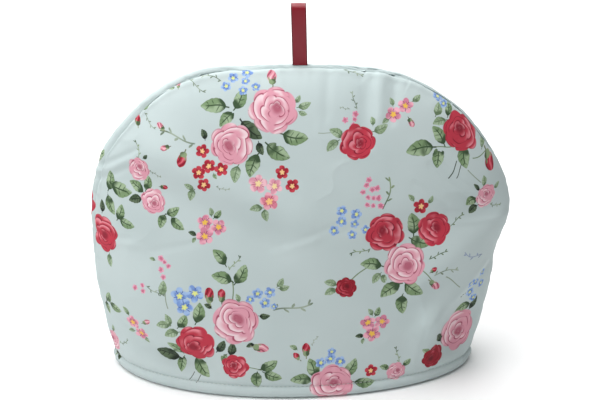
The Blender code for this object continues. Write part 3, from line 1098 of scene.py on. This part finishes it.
def drawSprig(tree, x, y, number, share):
    # a thin bent stem with leaflets on either side by turns: narrow ovals at 45 degrees to it
    bend = y + 0.16 * (x * 2.2 + number * 2.0).math("SINE")
    stem = ramp(abs(bend), 0.055, 0.022) * ramp(abs(x), 0.95, 0.85)
    cell = (x + 1.0) * 2.6
    which = cell.math("FLOOR")
    side = 1.0 - 2.0 * (which * 0.5).math("FRACT") * 2.0
    along = (cell - which - 0.42) / 2.6
    beside = bend * side
    a = (along + beside) * 0.707 - 0.20
    b = (beside - along) * 0.707
    leaflet = ramp(distance(a / 0.17, b / 0.062), 1.0, 0.8) * ramp(abs(x), 1.0, 0.96)
    tip = ramp(distance((x - 0.86) / 0.14, bend / 0.06), 1.0, 0.8)
    tone = waver(x, y, number, 1.6)[0]
    dark = choose(tree, share, [tint(84, 104, 80), tint(108, 124, 106), tint(108, 122, 150)])
    pale = choose(tree, share, [tint(140, 158, 124), tint(156, 170, 152), tint(150, 166, 190)])
    return blend(tree, ramp(tone, -0.12, 0.15), dark, pale), stem.math("MAXIMUM", leaflet).math("MAXIMUM", tip)


def drawLeaf(tree, x, y, number, share):
    # half width = 0.50 (1 - t^2)^0.72 (1 - 0.26 t) with t along the blade, toothed; dark midrib and side veins
    x, y = brushed(tree, x, y, number, 0.10)
    t = (x - 0.12) / 0.86
    y = y + 0.10 * (1.0 - t * t)
    body = (1.0 - t * t).math("MAXIMUM", 0.0001) ** 0.72
    teeth = 1.0 + 0.07 * abs((t * 8.0).math("SINE"))
    width = 0.50 * body * (1.0 - 0.26 * t) * teeth
    out = abs(y) / width
    blade = ramp(out, 1.0, 0.90) * ramp(abs(t), 1.0, 0.98)
    stalk = ramp(abs(y - 0.02), 0.07, 0.03) * ramp(x, -0.55, -0.65) * ramp(x, -1.0, -0.94)
    tone, fleck = waver(x, y, number, 3.0)
    rib = ramp(abs(y), 0.075, 0.02) * ramp(t, 0.75, 0.4)
    slant = ((t - out * 0.34) * 15.0 + number).math("SINE")
    vein = ramp(slant, 0.55, 0.95) * ramp(out, 0.95, 0.45) * ramp(fleck, -0.22, 0.05) * 0.85
    foot = ramp(t + tone * 1.2, -0.15, -0.75)
    rim = ramp(out, 0.72, 1.0) * ramp(tone, -0.08, 0.16) * 0.7
    pale = choose(tree, share, [tint(158, 180, 146), tint(164, 184, 156), tint(92, 110, 84)])
    mid = choose(tree, share, [tint(122, 148, 108), tint(140, 162, 128), tint(66, 84, 62)])
    dark = choose(tree, share, [tint(58, 80, 54), tint(96, 118, 88), tint(34, 44, 34)])
    colour = blend(tree, ramp(y + tone * 0.5, -0.16, 0.16), mid, pale)
    strokes = rib.math("MAXIMUM", vein).math("MAXIMUM", foot).math("MAXIMUM", rim).math("MAXIMUM", stalk)
    return blend(tree, strokes, colour, dark), blade.math("MAXIMUM", stalk)


def drawBud(tree, x, y, number, share):
    # a pointed oval of wrapped petals in a green cup on a short stalk
    x, y = brushed(tree, x, y, number, 0.12)
    t = (x - 0.22) / 0.76
    body = (1.0 - t * t).math("MAXIMUM", 0.0001) ** 0.6
    petals = ramp(abs(y) / (0.50 * body), 1.0, 0.86) * ramp(abs(t), 1.0, 0.97)
    tone = waver(x, y, number, 2.4)[0]
    wrap = (y * 9.0 + x * 4.0 + tone * 4.0).math("SINE")
    light = choose(tree, share, [tint(236, 190, 198), tint(214, 106, 120)])
    mid = choose(tree, share, [tint(214, 138, 154), tint(176, 44, 62)])
    dark = choose(tree, share, [tint(156, 66, 88), tint(120, 20, 38)])
    colour = blend(tree, ramp(wrap + y * 1.6, 0.2, 1.2), mid, light)
    colour = blend(tree, ramp(wrap, -0.6, -0.95) * 0.9, colour, dark)
    cup = ramp(distance((x + 0.34) / 0.34, y / 0.40), 1.0, 0.85)
    sepal = ramp(abs(abs(y) - 0.30 - x * 0.10), 0.10, 0.04) * ramp(x, 0.25, 0.05) * ramp(x, -0.5, -0.3)
    stalk = ramp(abs(y), 0.09, 0.04) * ramp(x, -0.45, -0.55) * ramp(x, -1.0, -0.94)
    green = cup.math("MAXIMUM", sepal).math("MAXIMUM", stalk)
    colour = blend(tree, green, colour, blend(tree, ramp(tone + y, -0.1, 0.1), tint(74, 94, 66), tint(136, 156, 118)))
    return colour, petals.math("MAXIMUM", green)


def drawBlossom(tree, x, y, number, share):
    # five round petals: radius = 0.60 + 0.38 |cos(2.5 angle)|^0.6; streaks from a yellow middle
    x, y = brushed(tree, x, y, number, 0.16)
    r = distance(x, y)
    angle = y.math("ARCTAN2", x)
    lobe = abs((angle * 2.5).math("COSINE"))
    out = r / (0.60 + 0.38 * lobe ** 0.6)
    petals = ramp(out, 1.0, 0.90)
    tone = waver(x, y, number, 2.4)[0]
    light = choose(tree, share, [tint(196, 62, 76), tint(238, 190, 200), tint(232, 168, 182), tint(234, 172, 188),
                                 tint(160, 188, 226), tint(230, 168, 190)])
    mid = choose(tree, share, [tint(164, 34, 52), tint(218, 150, 168), tint(212, 126, 146), tint(206, 128, 152),
                               tint(118, 150, 208), tint(214, 132, 158)])
    dark = choose(tree, share, [tint(108, 18, 34), tint(176, 82, 104), tint(168, 40, 58), tint(126, 44, 84),
                                tint(52, 74, 150), tint(150, 60, 96)])
    eye = choose(tree, share, [tint(240, 200, 140), tint(240, 216, 160), tint(244, 196, 130), tint(236, 190, 84),
                               tint(220, 226, 140), tint(200, 110, 130)])
    colour = blend(tree, ramp(tone + (out - 0.6) * 0.35, -0.12, 0.18), mid, light)
    split = ramp(lobe, 0.30, 0.05) * ramp(r, 0.22, 0.42)
    streak = ramp(abs((angle * 7.5 + tone * 3.0).math("SINE")), 0.55, 0.95) * ramp(r, 0.62, 0.25)
    colour = blend(tree, split.math("MAXIMUM", streak * 0.8), colour, dark)
    star = ramp(r - 0.16 * abs((angle * 2.5 + 1.57).math("SINE")), 0.24, 0.12)
    return blend(tree, star, colour, eye), petals


def drawRose(tree, x, y, number, share):
    # scalloped petals in rings that wind into a deep heart off the middle, lit at the lip and dark at the foot
    x, y = brushed(tree, x, y, number, 0.16, 1.7)
    over = distance(x, y) / (0.84 + 0.14 * abs((y.math("ARCTAN2", x) * 3.5 + number).math("COSINE")) ** 0.6)
    x = x - 0.22 * (1.0 - over)
    r = distance(x, y)
    angle = y.math("ARCTAN2", x)
    tone, grain = waver(x, y, number, 2.2)
    ring = r * 4.2 - 0.45 * abs((angle * 2.0 + r * 6.0 + number).math("COSINE")) ** 0.7 + tone
    part = ring - ring.math("FLOOR")
    light = choose(tree, share, [tint(238, 212, 218), tint(226, 136, 148), tint(190, 70, 84)])
    mid = choose(tree, share, [tint(220, 156, 172), tint(188, 54, 72), tint(150, 28, 44)])
    lit = ramp(part, 0.25, 0.8) * ramp(grain * 1.6 + tone - x * 0.5 - share * 0.35, -0.35, 0.25)
    colour = blend(tree, lit, mid, light)
    dark = choose(tree, share, [tint(166, 74, 98), tint(128, 24, 44), tint(96, 14, 28)])
    line = ramp(part, 0.20, 0.04).math("MAXIMUM", ramp(part, 0.93, 1.0)) * ramp(grain, -0.22, 0.02)
    heart = ramp(r, 0.36, 0.12) * 0.8
    rim = ramp(over, 0.90, 0.98) * ramp(tone, -0.1, 0.15) * 0.7
    return blend(tree, line.math("MAXIMUM", heart).math("MAXIMUM", rim), colour, dark), ramp(over, 1.0, 0.955)


drawers = {"stem": drawStem, "sprig": drawSprig, "leaf": drawLeaf, "bud": drawBud, "blossom": drawBlossom,
           "rose": drawRose}


def principled(name, roughness, colour=(0.8, 0.8, 0.8)):
    material = bpy.data.materials.new(name)
    material.use_nodes = True
    shader = material.node_tree.nodes["Principled BSDF"]
    shader.inputs["Roughness"].default_value = roughness
    shader.inputs["Base Color"].default_value = (*colour, 1.0)
    return material, material.node_tree, shader


threadPitch = 0.0007
groundColours = (tint(188, 202, 202), tint(194, 207, 207))


def printedCotton():
    material, tree, shader = principled("printedCotton", 0.82)
    cloth = tree.nodes.new("ShaderNodeUVMap")
    cloth.uv_map = "cloth"
    u, v = parts(tree, cloth.outputs["UV"])[:2]
    patches = noiseNode(tree, cloth.outputs["UV"], 14.0)
    colour = blend(tree, ramp(patches, 0.25, 0.75), groundColours[0], groundColours[1])
    for kind, count in kindLayers.items():
        group = motifGroup(kind, drawers[kind])
        for k in range(count):
            place = tree.nodes.new("ShaderNodeAttribute")
            place.attribute_name = f"{kind}{k}"
            motif = tree.nodes.new("ShaderNodeGroup")
            motif.node_tree = group
            tree.links.new(place.outputs["Vector"], motif.inputs["Place"])
            colour = blend(tree, Value(tree, motif.outputs["Share"]), colour, motif.outputs["Color"])
    tree.links.new(colour, shader.inputs["Base Color"])
    shader.inputs["Sheen Weight"].default_value = 0.08
    shader.inputs["Sheen Roughness"].default_value = 0.5
    shader.inputs["Specular IOR Level"].default_value = 0.25
    thread = (u * (2 * math.pi / threadPitch)).math("SINE") * (v * (2 * math.pi / threadPitch)).math("SINE")
    slub = noiseNode(tree, vector(tree, u * 40.0, v * 220.0, 0.0), 1.0)
    across = noiseNode(tree, vector(tree, u * 260.0, v * 45.0, 3.0), 1.0)
    bump = tree.nodes.new("ShaderNodeBump")
    bump.inputs["Distance"].default_value = 0.00012
    bump.inputs["Strength"].default_value = 0.6
    plug(tree, thread * 0.25 + slub + across, bump.inputs["Height"])
    tree.links.new(bump.outputs["Normal"], shader.inputs["Normal"])
    return material


# ---------- the stitches along the hem ----------
stitch = {"length": 0.0027, "gap": 0.0009, "halfWidth": 0.00024, "halfHeight": 0.00020, "lift": 0.00008}


def makeStitches(name, line, normals, material):
    # each stitch is five six-sided rings along the groove, low at both ends
    along = runningLength(line, 0)
    pitch = stitch["length"] + stitch["gap"]
    starts = np.arange(pitch, along[-1] - pitch, pitch)
    t = np.linspace(0.0, 1.0, 5)
    at = starts[:, None] + stitch["length"] * t[None, :]
    centre = np.stack([np.interp(at, along, line[:, k]) for k in range(3)], axis=-1)
    normal = np.stack([np.interp(at, along, normals[:, k]) for k in range(3)], axis=-1)
    normal /= np.linalg.norm(normal, axis=-1, keepdims=True)
    run = np.gradient(centre, axis=1)
    run /= np.linalg.norm(run, axis=-1, keepdims=True)
    beside = np.cross(run, normal)
    rise = stitch["lift"] + stitch["halfHeight"] * (np.sin(np.pi * t) ** 0.5 - 0.6)
    swell = 0.35 + 0.65 * np.sin(np.pi * t) ** 0.5
    turn = np.arange(6) * np.pi / 3
    ring = (np.cos(turn)[None, None, :, None] * beside[:, :, None] * stitch["halfWidth"]
            + np.sin(turn)[None, None, :, None] * normal[:, :, None] * stitch["halfHeight"]) * swell[None, :, None, None]
    points = centre[:, :, None] + rise[None, :, None, None] * normal[:, :, None] + ring
    index = np.arange(points.size // 3).reshape(len(starts), 5, 6)
    ahead = np.roll(index, -1, axis=2)
    sides = np.stack([index[:, :-1], ahead[:, :-1], ahead[:, 1:], index[:, 1:]], -1).reshape(-1, 4).tolist()
    ends = index[:, 0, ::-1].tolist() + index[:, -1].tolist()
    return newPiece(name + "Stitches", points.reshape(-1, 3), sides + ends, material)


# ---------- the ribbon loop ----------
ribbon = {
    "width": 0.012,
    "thick": 0.00055,
    "open": 0.0095,                 # front to back across the loop near its top
    "foot": 0.003,
    "together": 0.00095,            # each run's middle stands so far from the other's at the foot
    "lean": -0.0012,
    "rows": 150,
    "columns": 16,
}


def makeRibbon(material):
    # up the front run, over the fold and down the back run; the runs open by a sine to the width of the loop
    low, tall = ribbonLow[2], ribbonHigh[2] - ribbonLow[2]
    half = ribbon["open"] / 2 - ribbon["thick"] / 2
    rise = tall - ribbon["foot"] - ribbon["open"] / 2
    t = np.linspace(0.0, 1.0, 60)
    spread = ribbon["together"] + (half - ribbon["together"]) * np.sin(t * np.pi / 2) ** 1.5
    bend = np.linspace(0.0, np.pi, 41)[1:-1]
    y = np.concatenate([[-ribbon["together"]], -spread, -half * np.cos(bend), spread[::-1], [ribbon["together"]]])
    z = np.concatenate([[0.0], ribbon["foot"] + rise * t, ribbon["foot"] + rise + half * np.sin(bend),
                        (ribbon["foot"] + rise * t)[::-1], [0.0]])
    line = np.stack([y, z], axis=1)
    along = runningLength(line, 0)
    even = np.linspace(0.0, along[-1], ribbon["rows"])
    line = np.stack([np.interp(even, along, line[:, 0]), np.interp(even, along, line[:, 1])], axis=1)
    run = np.gradient(line, axis=0)
    run /= np.linalg.norm(run, axis=1)[:, None]
    out = np.stack([-run[:, 1], run[:, 0]], axis=1)
    out *= np.sign((out * (line - [0.0, tall * 0.7])).sum(1).mean())
    across = np.linspace(-1.0, 1.0, ribbon["columns"] + 1)
    wave = 0.00025 * np.sin(even / along[-1] * 23.0)[:, None] * across[None, :] ** 2
    selvedge = 0.00008 * (np.abs(across) > 0.85)
    grids = []
    for side in (1.0, -1.0):
        shift = side * (ribbon["thick"] / 2 + selvedge[None, :]) + wave
        x = across[None, :] * ribbon["width"] / 2 + ribbon["lean"] * line[:, 1:2] / tall
        grids.append(np.stack([x, line[:, :1] + out[:, :1] * shift, low + line[:, 1:2] + out[:, 1:] * shift], -1))
    points = np.concatenate([grid.reshape(-1, 3) for grid in grids])
    points[:, 2] = np.maximum(points[:, 2], low)
    rows, columns = ribbon["rows"], ribbon["columns"] + 1
    outer = np.arange(rows * columns).reshape(rows, columns)
    inner = outer + rows * columns
    faces = np.concatenate([gridQuads(rows, columns, 0, False), gridQuads(rows, columns, rows * columns, True)])
    edges = []
    for a, b, flip in ((outer[:, 0], inner[:, 0], False), (outer[:, -1], inner[:, -1], True),
                       (outer[0], inner[0], True), (outer[-1], inner[-1], False)):
        strip = np.stack([a[:-1], a[1:], b[1:], b[:-1]], axis=1)
        edges.append(strip[:, ::-1] if flip else strip)
    faces = np.concatenate([faces] + edges)
    piece = newPiece("ribbonLoop", points, faces.tolist(), material, 50)
    u = np.broadcast_to(across[None, :], (rows, columns)).ravel()
    v = np.broadcast_to(even[:, None], (rows, columns)).ravel()
    flat = np.concatenate([np.stack([u, v], 1)] * 2)
    addUvMap(piece, "band", flat[cornerPoints(piece)])
    return piece, along[-1]


satinPitch = 0.0006


def satin():
    # crimson satin: a soft sheen along the weave, the colour darker along both edges of the band
    material, tree, shader = principled("satin", 0.32)
    band = tree.nodes.new("ShaderNodeUVMap")
    band.uv_map = "band"
    u, v = parts(tree, band.outputs["UV"])[:2]
    edge = ramp(abs(u), 0.80, 0.92)
    colour = blend(tree, edge, tint(134, 14, 34), tint(92, 8, 22))
    tree.links.new(colour, shader.inputs["Base Color"])
    shader.inputs["Sheen Weight"].default_value = 0.15
    shader.inputs["Sheen Roughness"].default_value = 0.35
    shader.inputs["Sheen Tint"].default_value = (1.0, 0.45, 0.6, 1.0)
    bump = tree.nodes.new("ShaderNodeBump")
    bump.inputs["Distance"].default_value = 0.00004
    bump.inputs["Strength"].default_value = 0.5
    plug(tree, (v * (2 * math.pi / satinPitch)).math("SINE"), bump.inputs["Height"])
    tree.links.new(bump.outputs["Normal"], shader.inputs["Normal"])
    return material


print("shaping the panels")
cotton = printedCotton()
thread = principled("thread", 0.7, tint(222, 228, 224))[0]
for name in ("front", "back"):
    piece, flats, printed, (hemLine, hemNormals) = makePanel(name, cotton)
    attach(piece, "root")
    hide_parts(name + "_panel")
    index = cornerPoints(piece)
    addUvMap(piece, "cloth", flats[index])
    layPrint(piece, flats, printed, name)
    stitches = makeStitches(name, hemLine, hemNormals, thread)
    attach(stitches, "root")

print("folding the ribbon")
loop, loopLength = makeRibbon(satin())
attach(loop, "root")
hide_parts("ribbon_loop")

# ---------- floor, light and camera ----------
print("lighting")
floorMesh = bpy.data.meshes.new("floor")
floorMesh.from_pydata([(-3, -3, 0), (3, -3, 0), (3, 3, 0), (-3, 3, 0)], [], [(0, 1, 2, 3)])
floor = bpy.data.objects.new("floor", floorMesh)
bpy.context.scene.collection.objects.link(floor)
floorMesh.materials.append(principled("paleFloor", 0.9, (0.95, 0.95, 0.95))[0])

world = bpy.data.worlds.new("studio")
bpy.context.scene.world = world
world.use_nodes = True
world.node_tree.nodes["Background"].inputs["Color"].default_value = (1.0, 1.0, 1.0, 1.0)
world.node_tree.nodes["Background"].inputs["Strength"].default_value = 0.20


def softLight(name, place, aim, size, energy):
    light = bpy.data.objects.new(name, bpy.data.lights.new(name, "AREA"))
    light.data.energy = energy
    light.data.size = size
    light.location = place
    towards = np.subtract(aim, place)
    light.rotation_euler = (math.acos(-towards[2] / np.linalg.norm(towards)), 0.0,
                            math.atan2(towards[1], towards[0]) - math.pi / 2)
    bpy.context.scene.collection.objects.link(light)


softLight("overhead", (-0.25, 0.0, 1.4), (0.0, 0.0, 0.0), 1.4, 25)
softLight("window", (-0.9, -0.7, 1.0), (0.0, 0.0, 0.15), 0.8, 5)
softLight("backdrop", (0.0, 1.6, 1.3), (0.0, 2.0, 0.0), 1.6, 30)

view = {"lens": 64.44, "up": math.radians(22), "distance": 0.9, "target": 0.147}
camera = bpy.data.objects.new("camera", bpy.data.cameras.new("camera"))
bpy.context.scene.collection.objects.link(camera)
bpy.context.scene.camera = camera
camera.data.lens = view["lens"]
camera.location = (0.0, -view["distance"] * math.cos(view["up"]),
                   view["target"] + view["distance"] * math.sin(view["up"]))
camera.rotation_euler = (math.pi / 2 - view["up"], 0.0, 0.0)
bpy.context.scene.view_settings.view_transform = "Standard"
